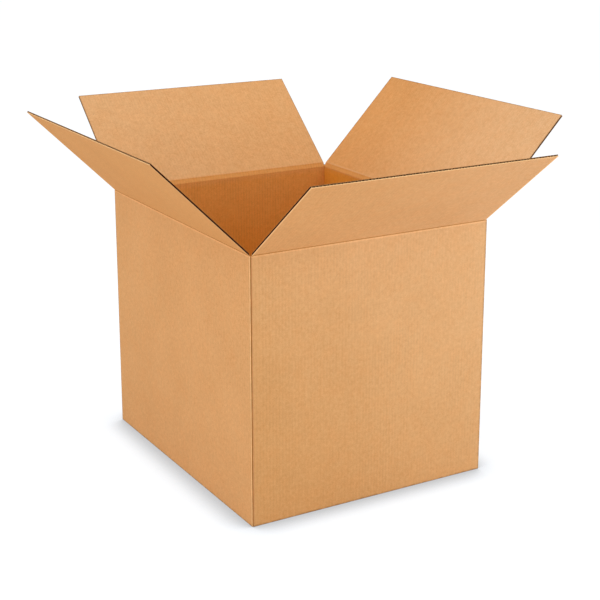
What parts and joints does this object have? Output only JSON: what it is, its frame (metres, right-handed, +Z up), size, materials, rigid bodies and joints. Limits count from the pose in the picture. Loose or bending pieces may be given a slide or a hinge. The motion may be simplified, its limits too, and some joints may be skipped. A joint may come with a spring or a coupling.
{
  "type": "open cardboard box",
  "caption": "Tall slotted carton of kraft corrugated board, standing open with its top flaps folded out, for packing and shipping bulky goods.",
  "frame": {"origin": "centre of the underside of the four walls", "axes": "+Z up; the short walls and their inner flaps face -Y (front) and +Y (back), the long walls and their outer flaps face -X (left) and +X (right)"},
  "size_m": [1.0513, 1.1928, 0.842],
  "materials": {
    "board_body": "matt kraft liner, faint flute lines",
    "board_flap": "matt kraft liner, open flutes at the cut edges"
  },
  "bodies": {
    "carton": {"carton_body": "board_body"},
    "front_flap": {"flap_front": "board_flap"},
    "back_flap": {"flap_back": "board_flap"},
    "left_flap": {"flap_left": "board_flap"},
    "right_flap": {"flap_right": "board_flap"}
  },
  "joints": [
    {"name": "front_fold", "type": "hinge", "parent": "carton", "child": "front_flap", "pos_m": [0, -0.35826, 0.61472], "axis": [1, 0, 0], "range_deg": [-141.5, 123.5]},
    {"name": "back_fold", "type": "hinge", "parent": "carton", "child": "back_flap", "pos_m": [0, 0.35831, 0.61467], "axis": [-1, 0, 0], "range_deg": [-139, 126]},
    {"name": "left_fold", "type": "hinge", "parent": "carton", "child": "left_flap", "pos_m": [-0.30886, 0, 0.61762], "axis": [0, -1, 0], "range_deg": [-135.5, 129.5]},
    {"name": "right_fold", "type": "hinge", "parent": "carton", "child": "right_flap", "pos_m": [0.30886, 0, 0.61762], "axis": [0, 1, 0], "range_deg": [-134, 131]}
  ]
}
